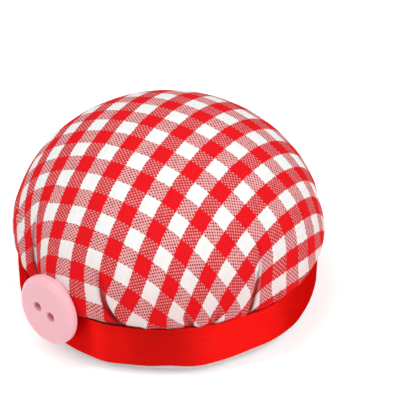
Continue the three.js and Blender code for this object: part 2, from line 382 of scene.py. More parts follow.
def on_meridian(arc):
    return np.interp(arc, ARC, MERIDIAN[:, 0]), np.interp(arc, ARC, MERIDIAN[:, 1])


def onto_dome(points):
    unit = (points - DOME_CENTRE) / DOME_AXES
    return unit / np.linalg.norm(unit, axis=-1, keepdims=True) * DOME_AXES + DOME_CENTRE


def net_quarter(azimuth_s, azimuth_t):
    """Crossings of the threads in one quarter, each a step from its two neighbours nearer the crown."""
    n = NET_REACH
    net = np.full((n + 1, n + 1, 3), np.nan)
    radius, height = on_meridian(np.arange(n + 1) * NET_STEP)
    net[:, 0] = around(radius, azimuth_s, height)
    net[0, :] = around(radius, azimuth_t, height)
    for diagonal in range(2, 2 * n + 1):
        i = np.arange(max(1, diagonal - n), min(n, diagonal - 1) + 1)
        j = diagonal - i
        left, below = net[i - 1, j], net[i, j - 1]
        point = left + below - net[i - 1, j - 1]
        for _ in range(NET_ROUNDS):
            point = onto_dome(point)
            normal = (point - DOME_CENTRE) / DOME_AXES ** 2
            normal /= np.linalg.norm(normal, axis=-1, keepdims=True)
            to_left, to_below = point - left, point - below
            far_left = np.linalg.norm(to_left, axis=-1)
            far_below = np.linalg.norm(to_below, axis=-1)
            a = to_left / far_left[:, None]
            b = to_below / far_below[:, None]
            a = a - (a * normal).sum(-1, keepdims=True) * normal
            b = b - (b * normal).sum(-1, keepdims=True) * normal
            aa, ab, bb = (a * a).sum(-1), (a * b).sum(-1), (b * b).sum(-1)
            ea, eb = NET_STEP - far_left, NET_STEP - far_below
            det = aa * bb - ab * ab + 1e-6
            move = a * ((bb * ea - ab * eb) / det)[:, None] + b * ((aa * eb - ab * ea) / det)[:, None]
            point = point + np.clip(move, -NET_STEP / 2, NET_STEP / 2)
        point = onto_dome(point)
        worst = np.maximum(
            np.abs(np.linalg.norm(point - left, axis=-1) - NET_STEP),
            np.abs(np.linalg.norm(point - below, axis=-1) - NET_STEP),
        )
        point[worst > NET_SLACK * NET_STEP] = np.nan
        net[i, j] = point
    return net


def cloth_net():
    """All crossings: place, thread coordinates, and the two thread directions there."""
    places, coordinates, along_s, along_t = [], [], [], []
    for sign_s, sign_t in ((1, 1), (-1, 1), (-1, -1), (1, -1)):
        azimuth_s = NET_AZIMUTH + (0 if sign_s > 0 else 180)
        azimuth_t = NET_AZIMUTH + (90 if sign_t > 0 else -90)
        net = net_quarter(azimuth_s, azimuth_t)
        step_s = np.empty_like(net)
        step_t = np.empty_like(net)
        step_s[1:] = net[1:] - net[:-1]
        step_s[0] = step_s[1]
        step_t[:, 1:] = net[:, 1:] - net[:, :-1]
        step_t[:, 0] = step_t[:, 1]
        good = ~(np.isnan(net).any(-1) | np.isnan(step_s).any(-1) | np.isnan(step_t).any(-1))
        i, j = np.meshgrid(np.arange(NET_REACH + 1), np.arange(NET_REACH + 1), indexing="ij")
        places.append(net[good])
        coordinates.append(np.stack([sign_s * i[good], sign_t * j[good]], -1) * NET_STEP)
        along_s.append(step_s[good] * sign_s / NET_STEP)
        along_t.append(step_t[good] * sign_t / NET_STEP)
    return tuple(np.concatenate(x) for x in (places, coordinates, along_s, along_t))


def cloth_table(azimuths, arcs):
    """Thread coordinates on a table of azimuth by arc length from the crown."""
    places, coordinates, along_s, along_t = cloth_net()
    tree = kdtree.KDTree(len(places))
    for k, place in enumerate(places):
        tree.insert(place, k)
    tree.balance()
    radius, height = on_meridian(arcs)
    query = around(radius[None, :], azimuths[:, None], height[None, :]).reshape(-1, 3)
    nearest = np.array([tree.find(q)[1] for q in query])
    a, b = along_s[nearest], along_t[nearest]
    gap = query - places[nearest]
    aa, ab, bb = (a * a).sum(-1), (a * b).sum(-1), (b * b).sum(-1)
    ga, gb = (gap * a).sum(-1), (gap * b).sum(-1)
    det = np.maximum(aa * bb - ab * ab, 0.02)
    st = coordinates[nearest] + np.stack([(bb * ga - ab * gb) / det, (aa * gb - ab * ga) / det], -1)
    return st.reshape(len(azimuths), len(arcs), 2)


# The draped cloth is looked up in steps of one degree round and TABLE_STEP of arc down from the crown. Checks
# are counted from lengths along the threads in units of THREAD_SCALE millimetres
TABLE_STEP = 0.6
TABLE_REACH = 62
THREAD_SCALE = 30
TABLE_ARCS = np.arange(0, TABLE_REACH, TABLE_STEP)
CLOTH_TABLE = cloth_table(np.arange(-180, 181, 1.0), TABLE_ARCS)

# Pairs of a white and a red check: the count at the crown, pairs in each THREAD_SCALE, and three terms for
# the skew of the pulled cloth. These were fitted to the places of white checks in the photograph
PAIRS_ACROSS = (-0.147, 4.080, 0.086, -0.251, -0.037)
PAIRS_ALONG = (2.743, 3.970, -0.141, -0.052, -0.089)


def cloth_uv(azimuth, arc):
    """Checks counted along both threads, at points of the draped cloth."""
    x = np.clip(wrap(azimuth) + 180, 0, 359.999)
    y = np.clip(arc / TABLE_STEP, 0, len(TABLE_ARCS) - 1.001)
    i, j = x.astype(int), y.astype(int)
    p, q = (x - i)[..., None], (y - j)[..., None]
    st = (CLOTH_TABLE[i, j] * (1 - p) + CLOTH_TABLE[i + 1, j] * p) * (1 - q)
    st = st + (CLOTH_TABLE[i, j + 1] * (1 - p) + CLOTH_TABLE[i + 1, j + 1] * p) * q
    return count_checks(st[..., 0] / THREAD_SCALE, st[..., 1] / THREAD_SCALE)


def count_checks(s, t):
    """Checks along both threads, with the slight skew that the cloth got when it was pulled down."""
    counts = []
    for thread, crown, pairs, skew_ss, skew_st, skew_tt in ((s, *PAIRS_ACROSS), (t, *PAIRS_ALONG)):
        count = crown + pairs * thread + skew_ss * s * s + skew_st * s * t + skew_tt * t * t
        counts.append(2 * count + 0.5)
    return np.stack(counts, -1)


# Where the base is pressed in: azimuth, reach to the left and to the right in degrees, depth

BASE_DIPS = (
    (26.0, 9.5, 15.0, 0.65),
    (-1.0, 7.0, 7.0, 0.45),
    (72.0, 16.0, 20.0, 0.35),
    (-10.0, 7.0, 6.0, 0.15),
    (-25.0, 12.0, 5.0, -0.42),
)
TOP_DIP_SHARE = 0.35


def base_dip(azimuth):
    dip = np.zeros(np.shape(azimuth))
    for centre, left, right, depth in BASE_DIPS:
        x = wrap(azimuth - centre)
        dip = dip + depth * np.exp(-(x / np.where(x < 0, left, right)) ** 2)
    return dip


# Tucks above the ribbon: azimuth there, lean in degrees for each millimetre up, rise, depth, how far its
# right side stands over the left, cloth taken in from the left and from the right, share of the rise over
# which it is taken in full, how far round the pull reaches to the left and to the right

TUCKS = np.array([
    (-166.0, -0.3, 14.0, 1.9, 0.2, 1.7, 1.7, 0.0, 10.0, 10.0),
    (-143.0, 0.3, 8.0, 0.9, 0.1, 0.7, 0.7, 0.0, 10.0, 10.0),
    (-122.0, 0.5, 12.0, 1.7, 0.2, 1.5, 1.5, 0.0, 10.0, 10.0),
    (-92.0, -0.8, 10.0, 1.0, 0.1, 1.0, 1.0, 0.0, 10.0, 10.0),
    (-50.9, -0.95, 17.0, 2.6, 0.4, 4.8, -4.4, 0.45, 16.0, 2.55),
    (-21.1, -0.4, 13.0, 2.0, 0.25, 2.1, 2.9, 0.1, 10.0, 10.0),
    (9.0, -0.6, 5.0, 1.3, 0.2, 0.9, 0.6, 0.0, 8.0, 8.0),
    (15.5, 0.4, 4.5, 1.2, -0.2, 0.6, 0.9, 0.0, 10.0, 8.0),
    (28.9, 0.6, 17.0, 1.5, -0.2, 1.5, 5.3, 0.2, 10.0, 40.0),
    (42.0, 0.4, 4.5, 0.8, 0.1, 0.4, 0.4, 0.0, 8.0, 8.0),
    (101.0, 0.2, 9.0, 1.3, 0.1, 0.9, 0.9, 0.0, 10.0, 10.0),
    (124.0, -0.4, 13.0, 1.9, 0.2, 1.7, 1.7, 0.0, 10.0, 10.0),
    (156.0, 0.5, 12.0, 1.8, 0.2, 1.5, 1.5, 0.0, 10.0, 10.0),
])

# Folds that run slantwise to the button, where the ribbon's ends were drawn together: azimuth just above
# the ribbon, lean, rise, depth, half width in millimetres
SLANTED = ((-58.0, -3.6, 7.0, 0.35, 0.8), (-66.0, -2.6, 8.0, 0.35, 0.7), (-44.0, 1.2, 5.0, 0.4, 0.9))

# Wide hollows just above the ribbon: azimuth, half width in degrees, rise, depth
HOLLOWS = ((-76.0, 17.0, 8.0, 0.6),)

# Bulges between folds: azimuth, half width in degrees, height, half height, rise of the bulge
BULGES = ((-82.0, 14.0, 25.0, 6.0, 0.5), (98.0, 20.0, 22.0, 6.0, -0.4))


def lean_at(azimuth):
    order = np.concatenate([TUCKS[:, 0] - 360, TUCKS[:, 0], TUCKS[:, 0] + 360])
    return np.interp(azimuth, order, np.tile(TUCKS[:, 1], 3))


# Where a fold swings aside just above the ribbon: azimuth, reach to the left and right, swing, rise
SWINGS = ((-21.1, 9.0, 9.0, 4.5, 3.6),)

# Where the cloth is drawn down less or more than elsewhere: azimuth, reach to the left and to the right,
# how far, rise
DRAWN = ((-25.0, 9.0, 9.0, 0.8, 3.5), (-53.0, 14.0, 2.5, -3.0, 16.0), (82.0, 16.0, 25.0, -2.4, 13.0))


def just_above(places, azimuth, height):
    """Sum of amounts that fade to both sides of each place and upwards from the ribbon."""
    total = np.zeros(np.broadcast_shapes(azimuth.shape, height.shape))
    for centre, left, right, amount, rise in places:
        x = wrap(azimuth - centre)
        near = np.exp(-(x / np.where(x < 0, left, right)) ** 2)
        total = total + amount * near * np.exp(-(np.maximum(height - RIBBON_TOP, 0) / rise) ** 2)
    return total


def cover_columns():
    """Azimuths of the cover's columns, a degree apart and closer at each tuck."""
    columns = list(np.arange(-180, 180, 1.0))
    for azimuth in TUCKS[:, 0]:
        columns = [c for c in columns if abs(wrap(c - azimuth)) > 3.0]
        near = np.linspace(-1, 1, 27)
        columns += list(wrap(azimuth + near ** 3 * 2.0 + near * 0.8))
    return np.sort(np.array(columns))


def cover_profile():
    """Radius and height from the crown down to the ribbon, under it and in below the card."""
    angle = np.linspace(0, math.pi / 2, 200)
    crown = np.stack([DOME_RADIUS * np.sin(angle), WIDEST + DOME_RISE * np.cos(angle)], -1)
    down = np.linspace(0, 1, 40)[1:]
    swell = np.stack([
        SIDE_RADIUS + (DOME_RADIUS - SIDE_RADIUS) * (1 - down ** 1.3),
        WIDEST - (WIDEST - RIBBON_TOP + 0.2) * down,
    ], -1)
    below = np.array([
        (SIDE_RADIUS, RIBBON_TOP - 3.0),
        (SIDE_RADIUS, HEM_BOTTOM + 2.6),
        (SIDE_RADIUS - 0.6, HEM_BOTTOM + 1.5),
        (SIDE_RADIUS - 1.8, HEM_BOTTOM + 1.25),
        (HEM_RADIUS, HEM_BOTTOM + 1.25),
    ])
    return np.concatenate([crown, swell, below])


# Across a tuck, in millimetres round the dome: the groove's two sides, the hollow beside it, the pillows
# further out, the lip of the side that stands over, and the depth past which the painted crease shade gets no
# darker
GROOVE_LEFT = 0.30
GROOVE_RIGHT = 0.42
HOLLOW_REACH = 3.4
PILLOW_AT = 6.5
PILLOW_REACH = 3.6
LIP_EDGE = 0.35
LIP_REACH = 2.6
DARKEST_SHADE_DEPTH = 1.6


def tuck_shape(base, height):
    """How far in the cloth goes at the tucks, how far it is shifted round, and how dark the painted crease
    shade is.
    """
    inward = np.zeros(np.broadcast_shapes(base.shape, height.shape))
    shift = np.zeros_like(inward)
    crease_shade = np.zeros_like(inward)
    for tuck in TUCKS:
        azimuth, _, rise, depth, over, taken_left, taken_right, hold, reach_left, reach_right = tuck
        x = np.radians(wrap(base - azimuth)) * DOME_RADIUS
        up = np.clip((height - RIBBON_TOP) / rise, 0, 1)
        fade = (1 - up) ** 1.2
        groove = np.exp(-(np.abs(x) / np.where(x > 0, GROOVE_RIGHT, GROOVE_LEFT)) ** 1.3)
        hollow = np.exp(-(x / HOLLOW_REACH) ** 2)
        pillow = np.exp(-((np.abs(x) - PILLOW_AT) / PILLOW_REACH) ** 2)
        lip = np.tanh(x / LIP_EDGE) * np.exp(-(x / LIP_REACH) ** 2)
        inward = inward + fade * (depth * (0.55 * groove + 0.15 * hollow - 0.09 * pillow) - over * lip)
        pull = 1 - smooth(up, hold, 1)
        blend = 0.2 + 0.045 * np.where(x < 0, reach_left, reach_right)
        right_share = 0.5 + 0.5 * np.tanh(x / blend)
        from_left = -taken_left * np.exp(-(x / reach_left) ** 2)
        from_right = taken_right * np.exp(-(x / reach_right) ** 2)
        shift = shift + pull * (from_left + (from_right - from_left) * right_share)
        # Painted shade in the crease: darker for deeper tucks, on the side that the lip covers
        shaded = x + 2 * over
        dark = fade ** 0.8 * min(depth, DARKEST_SHADE_DEPTH)
        crease_shade = np.maximum(crease_shade, dark * np.exp(-(np.abs(shaded) / (0.08 + 0.2 * depth)) ** 1.6))
    return inward, shift, crease_shade


def slanted_folds(azimuth, height):
    """How far in the cloth goes at the slanted folds, the hollows and the bulges."""
    inward = np.zeros(np.broadcast_shapes(azimuth.shape, height.shape))
    above = height - RIBBON_TOP
    for fold_azimuth, lean, rise, depth, half_width in SLANTED:
        x = np.radians(wrap(azimuth - fold_azimuth - lean * above)) * DOME_RADIUS
        fade = (1 - np.clip(above / rise, 0, 1)) ** 0.8
        slope = math.hypot(1, math.radians(lean) * DOME_RADIUS)
        inward = inward + fade * depth * np.exp(-np.abs(x / slope / half_width) ** 1.6)
    for hollow_azimuth, half_width, rise, depth in HOLLOWS:
        x = wrap(azimuth - hollow_azimuth) / half_width
        inward = inward + depth * np.exp(-x ** 2) * (1 - np.clip(above / rise, 0, 1)) ** 1.5
    for bulge_azimuth, half_width, middle, half_height, out in BULGES:
        x = wrap(azimuth - bulge_azimuth) / half_width
        inward = inward - out * np.exp(-x ** 2 - ((height - middle) / half_height) ** 2)
    return inward


def cover_lumps(azimuth, arc):
    """Slow unevenness of the filling, in millimetres."""
    rng = np.random.default_rng(7)
    lump = np.zeros(np.broadcast_shapes(azimuth.shape, arc.shape))
    for waves, rows, size in ((3, 0.12, 0.16), (5, 0.18, 0.12), (8, 0.27, 0.08), (12, 0.36, 0.05)):
        turns = rng.uniform(0, 2 * math.pi, 2)
        lump = lump + size * np.sin(np.radians(azimuth) * waves + turns[0]) * np.sin(arc * rows + turns[1])
    return lump * smooth(arc, 4, 16)


def cover_puckers(base, height):
    """Fine gathers just above the ribbon, in millimetres."""
    rng = np.random.default_rng(11)
    pucker = np.zeros(np.broadcast_shapes(base.shape, height.shape))
    for waves in (23, 31, 41, 57):
        pucker = pucker + np.sin(np.radians(base) * waves + rng.uniform(0, 2 * math.pi)) * 0.07
    return pucker * np.clip(1 - (height - RIBBON_TOP) / 5.0, 0, 1) ** 2


# Height over which the tucks lean, gathers round the hem and their depth, cover rings to a ring of lining
LEAN_HEIGHT = 14
HEM_GATHERS = 72
GATHER_DEPTH = 1.1
LINING_STEP = 6


def paint(obj, label, values):
    """A value stored on the mesh for each point of the outside. The lining has 0."""
    values = np.concatenate([values.ravel(), np.zeros(len(obj.data.vertices) - values.size)])
    layer = obj.data.attributes.new(label, "FLOAT", "POINT")
    layer.data.foreach_set("value", values.astype(np.float32))


def make_cover():
    rings, arc = even_steps(cover_profile(), 170)
    rings, arc = rings[1:], arc[1:, None]
    columns = cover_columns()
    base = columns[None, :]
    radius, height = rings[:, :1], rings[:, 1:]
    azimuth = base + lean_at(base) * np.clip(height - RIBBON_TOP, 0, LEAN_HEIGHT)
    azimuth = azimuth + just_above(SWINGS, base, height)
    inward, shift, crease_shade = tuck_shape(base, height)
    inward = inward + slanted_folds(azimuth, height) + cover_puckers(base, height)
    inward = inward + cover_lumps(azimuth, arc)
    free = smooth(height, RIBBON_TOP - 0.4, RIBBON_TOP + 0.9)
    inward = np.where(inward > 0, np.maximum(free, 0.25), free) * inward
    inward = inward * (radius > SIDE_RADIUS - 0.01)
    slope_r = np.gradient(rings[:, 0], arc[:, 0])[:, None]
    slope_z = np.gradient(rings[:, 1], arc[:, 0])[:, None]
    hem = smooth(-radius, 2.0 - SIDE_RADIUS, 5.0 - SIDE_RADIUS) * (height < RIBBON_TOP)
    gather = GATHER_DEPTH * hem * np.sin(np.radians(base) * HEM_GATHERS)
    low = np.interp(height, (RIBBON_BOTTOM, RIBBON_TOP, RIBBON_TOP + 9), (1, TOP_DIP_SHARE, 0))
    low = low * smooth(radius, HEM_RADIUS, SIDE_RADIUS - 1.8)
    radius = radius - low * base_dip(azimuth)
    outside = around(radius + slope_z * inward, azimuth, height - slope_r * inward + gather)
    fabric = azimuth + np.degrees(shift / DOME_RADIUS)
    uv = cloth_uv(fabric, arc - just_above(DRAWN, base, height))
    lining = slice(None, None, LINING_STEP)
    deep = np.maximum(inward, 0) + CLOTH_THICKNESS
    inside = around(radius + slope_z * deep, azimuth, height - slope_r * deep + gather)[lining][::-1]
    points = np.concatenate([outside, inside])
    faces = capped_faces(len(points), len(columns))
    points = np.concatenate([points.reshape(-1, 3), [(0, 0, CROWN), (0, 0, CROWN - CLOTH_THICKNESS)]])
    middle = cloth_uv(np.zeros(1), np.zeros(1))
    uv = np.concatenate([uv.reshape(-1, 2), uv[lining][::-1].reshape(-1, 2), middle, middle])
    obj = make_object("cover", points, faces, uv)
    # Painted shade: a dark band along the cover's edge just above the ribbon, stored together with the crease
    # shade
    rim = 0.8 * np.exp(-(np.maximum(height - RIBBON_TOP - 0.2, 0) / 0.6) ** 2)
    paint(obj, "crease_shade", np.clip(np.maximum(crease_shade, rim), 0, 1))
    # Painted pink bounce light from the ribbon: full up to 1 mm above it and gone by 20 mm above it
    painted_bounce = 1 - smooth(height, RIBBON_TOP + 1, RIBBON_TOP + 20)
    paint(obj, "painted_bounce", np.broadcast_to(painted_bounce, crease_shade.shape))
    return obj


# Satin ribbon: a full turn and a short lap behind the button. It starts RIBBON_START degrees left of the
# button's middle, sweeps RIBBON_SWEEP degrees, and rises within LAP_RAMP to pass over its own start

BUTTON_AZIMUTH = -44.5
RIBBON_START = 9.0
RIBBON_SWEEP = 368.0
LAP_RAMP = (340, 354)
LAP_LIFT = 0.7
RIBBON_THICKNESS = 0.3
RIBBON_WAVE = 0.10
RIBBON_RIPPLE = 0.06

# Rows across the ribbon as shares of its width, close together at both edges
RIBBON_ROWS = (0, 0.012, 0.03, 0.06, 0.12, 0.25, 0.4, 0.55, 0.7, 0.82, 0.9, 0.95, 0.975, 0.99, 1.0)


def make_ribbon():
    sweep = np.linspace(0, RIBBON_SWEEP, 420)
    azimuth = BUTTON_AZIMUTH - RIBBON_START + sweep
    lap = LAP_LIFT * smooth(sweep, *LAP_RAMP)
    turn = np.radians(azimuth)
    share = np.array(RIBBON_ROWS)
    width = RIBBON_TOP - RIBBON_BOTTOM
    wave = RIBBON_WAVE * np.sin(turn * 7 + 1) + RIBBON_RIPPLE * np.sin(turn * 17)
    low_wave = RIBBON_WAVE * np.sin(turn * 9 + 2) + RIBBON_RIPPLE * np.sin(turn * 23 + 1)
    low = RIBBON_BOTTOM + 0.35 + low_wave
    high = RIBBON_TOP - 0.2 + wave + 0.45 * np.exp(-(wrap(azimuth - 15) / 25) ** 2)
    height = low[None, :] + share[:, None] * (high - low)[None, :]
    edge = np.exp(-(np.minimum(share, 1 - share) / 0.02) ** 2)[:, None]
    belly = 0.10 * np.sin(math.pi * share)[:, None]
    buckle = 0.07 * np.sin(turn * 11 + 0.7)[None, :] * (share[:, None] - 0.3)
    dip = base_dip(azimuth)[None, :] * (1 - (1 - TOP_DIP_SHARE) * share[:, None])
    outside = RIBBON_RADIUS - 0.1 + lap[None, :] - dip + belly + buckle + 0.05 * edge
    inside = outside - RIBBON_THICKNESS - 0.1 * edge
    front = around(outside, azimuth[None, :], height)
    back = around(inside, azimuth[None, :], height)[::-1]
    points = np.concatenate([front, back])
    rows, count = points.shape[:2]
    along = np.radians(sweep) * RIBBON_RADIUS
    up = np.concatenate([share, share[::-1]]) * width
    uv = np.stack(np.broadcast_arrays(along[None, :], up[:, None]), -1).reshape(-1, 2)
    faces = grid_faces(rows, count, close_rows=True)
    start = [row * count for row in range(rows)]
    end = [row * count + count - 1 for row in range(rows)]
    faces += [tuple(reversed(start)), tuple(end)]
    return make_object("ribbon", points.reshape(-1, 3), faces, uv)


# Button with a soft rim and two holes

BUTTON_RADIUS = 7.42
BUTTON_THICKNESS = 2.6
BUTTON_LIFT = 0.55
BUTTON_BEVEL = 1.15
BUTTON_LEAN = 4.8
BUTTON_TURN = -8.6
HOLE_RADIUS = 1.0
HOLE_SPACING = 3.85
HOLE_STEPS = 48


def button_frame():
    """Where the button sits: its middle in the solid's box, facing out and leaning back a little."""
    middle = Vector((button_lo + button_hi) / 2)
    azimuth, lean = math.radians(BUTTON_AZIMUTH), math.radians(BUTTON_LEAN)
    facing = Vector((
        math.sin(azimuth) * math.cos(lean), -math.cos(azimuth) * math.cos(lean), math.sin(lean),
    ))
    right = Vector((math.cos(azimuth), math.sin(azimuth), 0))
    up = facing.cross(right)
    turn = Matrix((right, up, facing)).transposed().to_4x4()
    spin = Matrix.Rotation(math.radians(BUTTON_TURN), 4, "Z")
    return Matrix.Translation(middle) @ turn @ spin


def curve(start, corner, end, steps):
    """A rounded corner from start to end."""
    t = np.linspace(0, 1, steps)[:, None]
    return (1 - t) ** 2 * np.array(start) + 2 * t * (1 - t) * np.array(corner) + t * t * np.array(end)


def circle(radius, centre=0.0, steps=128):
    """Points of a circle, its centre on the line through the holes."""
    angle = np.linspace(0, 2 * math.pi, steps, endpoint=False)
    return np.stack([centre + radius * np.cos(angle), radius * np.sin(angle)], -1)


def make_button():
    """Two flat faces with two holes, joined by rings round the rim and down the bores."""
    bm = bmesh.new()
    r, t = BUTTON_RADIUS, BUTTON_THICKNESS / 2

    def ring(points, height):
        return [bm.verts.new((x * MM, y * MM, height * MM)) for x, y in points]

    def bridge(lower, upper):
        count = len(lower)
        for k in range(count):
            bm.faces.new((lower[k], lower[(k + 1) % count], upper[(k + 1) % count], upper[k]))

    def flat_face(radius, hole_radius, height):
        rings = [ring(circle(radius), height)]
        sides = (-1, 1)
        rings += [ring(circle(hole_radius, side * HOLE_SPACING / 2, HOLE_STEPS), height) for side in sides]
        edges = [bm.edges.new((loop[k - 1], loop[k])) for loop in rings for k in range(len(loop))]
        bmesh.ops.triangle_fill(bm, use_beauty=True, edges=edges, normal=(0, 0, 1))
        return rings

    front = flat_face(r - BUTTON_BEVEL - 0.1, HOLE_RADIUS + 0.35, t)
    back = flat_face(r - 0.9, HOLE_RADIUS + 0.15, -t)
    rim = np.concatenate([
        [(r - 0.85, -t)],
        curve((r - 0.8, -t), (r, -t), (r, -t + 0.8), 7),
        curve((r, t - 1.25), (r, t - 0.75), (r - 0.35, t - 0.5), 7),
        curve((r - 0.75, t - 0.22), (r - 1.0, t), (r - BUTTON_BEVEL, t), 5),
    ])
    last = back[0]
    for radius, height in rim:
        following = ring(circle(radius), height)
        bridge(last, following)
        last = following
    bridge(last, front[0])
    bore = np.concatenate([
        [(HOLE_RADIUS + 0.3, t)],
        curve((HOLE_RADIUS + 0.25, t), (HOLE_RADIUS, t), (HOLE_RADIUS, t - 0.3), 6),
        [(HOLE_RADIUS, 0.0), (HOLE_RADIUS, -t + 0.15)],
    ])
    for side, upper, lower in ((-1, front[1], back[1]), (1, front[2], back[2])):
        last = upper
        for radius, height in bore:
            following = ring(circle(radius, side * HOLE_SPACING / 2, HOLE_STEPS), height)
            bridge(following, last)
            last = following
        bridge(lower, last)
    bmesh.ops.recalc_face_normals(bm, faces=bm.faces)
    for face in bm.faces:
        face.smooth = True
    obj = object_from(bm, "button_face")
    place = button_frame()
    place.translation = (place.translation + Vector((0, 0, BUTTON_LIFT))) * MM
    obj.data.transform(place)
    obj.data.update()
    return obj


# Felt disc with two slots for the strap: room round the strap's end, and the slot's depth inwards from it

SLOT_ROOM = 0.3
SLOT_DEPTH = 1.5
SLOT_OUTER = tab_hi[0] + SLOT_ROOM
SLOT_INNER = tab_hi[0] - SLOT_DEPTH
SLOT_HALF = tab_hi[1] + SLOT_ROOM

# The felt's edge lies further under the ribbon away from FELT_FRONT, and its pile adds to its thickness
FELT_FRONT = 22
FELT_INSET = 1.1
FELT_MORE_INSET = 0.6
FELT_PILE = 0.2
FELT_BEVEL = 0.35


def slot_outline(side):
    inner, outer = side * SLOT_INNER, side * SLOT_OUTER
    return [(inner, -SLOT_HALF), (outer, -SLOT_HALF), (outer, SLOT_HALF), (inner, SLOT_HALF)]


def make_felt():
    bm = bmesh.new()
    azimuth = np.arange(-180, 180, 2.0)
    inset = FELT_INSET + FELT_MORE_INSET * smooth(np.abs(wrap(azimuth - FELT_FRONT)), 22, 48)
    rim = around(RIBBON_RADIUS - base_dip(azimuth) - inset, azimuth, 0)[:, :2]
    edges = []
    for ring in (rim, slot_outline(1), slot_outline(-1)):
        verts = [bm.verts.new((x * MM, y * MM, felt_lo[2] * MM)) for x, y in ring]
        edges += [bm.edges.new((verts[k], verts[(k + 1) % len(verts)])) for k in range(len(verts))]
    bmesh.ops.triangle_fill(bm, use_beauty=True, edges=edges, normal=(0, 0, -1))
    bmesh.ops.recalc_face_normals(bm, faces=bm.faces)
    made = bmesh.ops.extrude_face_region(bm, geom=list(bm.faces))
    lift = (felt_hi[2] - felt_lo[2] + FELT_PILE) * MM
    moved = [item for item in made["geom"] if isinstance(item, bmesh.types.BMVert)]
    bmesh.ops.translate(bm, verts=moved, vec=(0, 0, lift))
    bmesh.ops.recalc_face_normals(bm, faces=bm.faces)
    obj = object_from(bm, "felt")
    bevel = obj.modifiers.new("soft_edge", "BEVEL")
    bevel.width = FELT_BEVEL * MM
    bevel.segments = 3
    return obj


# Elastic strap in two halves: a leg from the middle out and up into its slot, and a tab in over the felt

STRAP_HALF_THICKNESS = 0.6
STRAP_LOW = (strap_lo[2] + strap_hi[2]) / 2
STRAP_HIGH = tab_hi[2] - STRAP_HALF_THICKNESS
STRAP_OUT = tab_hi[0] - STRAP_HALF_THICKNESS
STRAP_BEND = 0.9
STRAP_EDGE = 0.5
STRAP_SLACK = 0.02


def strap_corner(height, way):
    """A quarter turn between the flat run at this height and the riser."""
    turn = np.linspace(0, math.pi / 2, 9)
    x = STRAP_OUT - STRAP_BEND + STRAP_BEND * np.sin(turn)
    return np.stack([x, height + way * STRAP_BEND * (1 - np.cos(turn))], -1)


def strap_paths():
    """Middle lines of the leg and of the tab, which meet half way up the riser."""
    meeting = [(STRAP_OUT, (STRAP_LOW + STRAP_HIGH) / 2)]
    leg = np.concatenate([[(0.0, STRAP_LOW)], strap_corner(STRAP_LOW, 1), meeting])
    tab = np.concatenate([meeting, strap_corner(STRAP_HIGH, -1)[::-1], [(tab_lo[0], STRAP_HIGH)]])
    return leg, tab


def strap_section():
    """Outline across the strap, with rounded edges. Its second half is the first turned half round."""
    thick = (strap_hi[2] - strap_lo[2]) / 2 - STRAP_SLACK
    flat = strap_hi[1] - STRAP_EDGE
    below = [(y, -thick) for y in np.linspace(-flat, flat, 25)]
    turn = np.linspace(0, math.pi, 9)[1:-1]
    edge = [(flat + STRAP_EDGE * math.sin(a), -thick * math.cos(a)) for a in turn]
    half = np.array(below + edge)
    return np.concatenate([half, -half])


def make_band(name, side, path, steps, first):
    """The strap's section along a path, on the right or left side. The uv's length starts at first."""
    path, arc = even_steps(path, steps)
    arc = arc + first
    step = np.gradient(path, axis=0)
    step /= np.linalg.norm(step, axis=1, keepdims=True)
    normal = np.stack([-step[:, 1], step[:, 0]], -1)
    section = strap_section()
    x = path[:, 0][:, None] + normal[:, 0][:, None] * section[:, 1][None, :]
    z = path[:, 1][:, None] + normal[:, 1][:, None] * section[:, 1][None, :]
    y = np.broadcast_to(section[:, 0][None, :], x.shape)
    points = np.stack([side * x, side * y, z], -1)
    rows, count = points.shape[:2]
    uv = np.stack(np.broadcast_arrays(arc[:, None], section[:, 0][None, :]), -1).reshape(-1, 2)
    faces = grid_faces(rows, count, close_columns=True)
    faces.append(tuple(reversed(range(count))))
    faces.append(tuple((rows - 1) * count + k for k in range(count)))
    obj = make_object(name, points.reshape(-1, 3), faces, uv)
    bm = bmesh.new()
    bm.from_mesh(obj.data)
    bmesh.ops.recalc_face_normals(bm, faces=bm.faces)
    bm.to_mesh(obj.data)
    bm.free()
    return obj


# Fibre filling under the cover, clear of it at the side and at the crown

FILLING_SIDE_ROOM = 1.2
FILLING_TOP_ROOM = 0.4
FLUFF = 0.25


def make_filling():
    radius, bottom = stuffing_hi[0] - FILLING_SIDE_ROOM, stuffing_lo[2]
    rise = stuffing_hi[2] - FILLING_TOP_ROOM - WIDEST
    angle = np.linspace(0, math.pi / 2, 60)
    side = np.stack([radius * np.sin(angle), WIDEST + rise * np.cos(angle)], -1)
    line = np.concatenate([side, [(radius, bottom + 1.0), (radius - 1.0, bottom), (0.5, bottom)]])
    rings, arc = even_steps(line, 60)
    rings, arc = rings[1:], arc[1:]
    azimuth = np.arange(0, 360, 4.0)[None, :]
    fluff = FLUFF * np.sin(np.radians(azimuth) * 9 + arc[:, None] * 0.4) * np.sin(arc[:, None] * 0.7)
    fluff = fluff * smooth(rings[:, :1], 2, 8)
    points = around(rings[:, :1] - np.abs(fluff), azimuth, rings[:, 1:]).reshape(-1, 3)
    points = np.concatenate([points, [(0, 0, WIDEST + rise), (0, 0, bottom)]])
    return make_object("filling", points, capped_faces(len(rings), azimuth.shape[1]))


# Pieces, what they ride on and what they stand for

def dress(obj, material):
    obj.data.materials.clear()
    obj.data.materials.append(material)
    return obj


cover = dress(make_cover(), gingham_material())
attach(cover, "cushion")
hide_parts("gingham_cover")

fibre = speckled_material("fibre", (0.82, 0.82, 0.80), (0.92, 0.92, 0.90), 500, 0.95, 0.0004)
filling = dress(make_filling(), fibre)
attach(filling, "cushion")
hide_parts("stuffing")

ribbon = dress(make_ribbon(), satin_material())
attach(ribbon, "cushion")
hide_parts("satin_ribbon")

button = dress(make_button(), button_material())
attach(button, "cushion")
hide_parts("button")

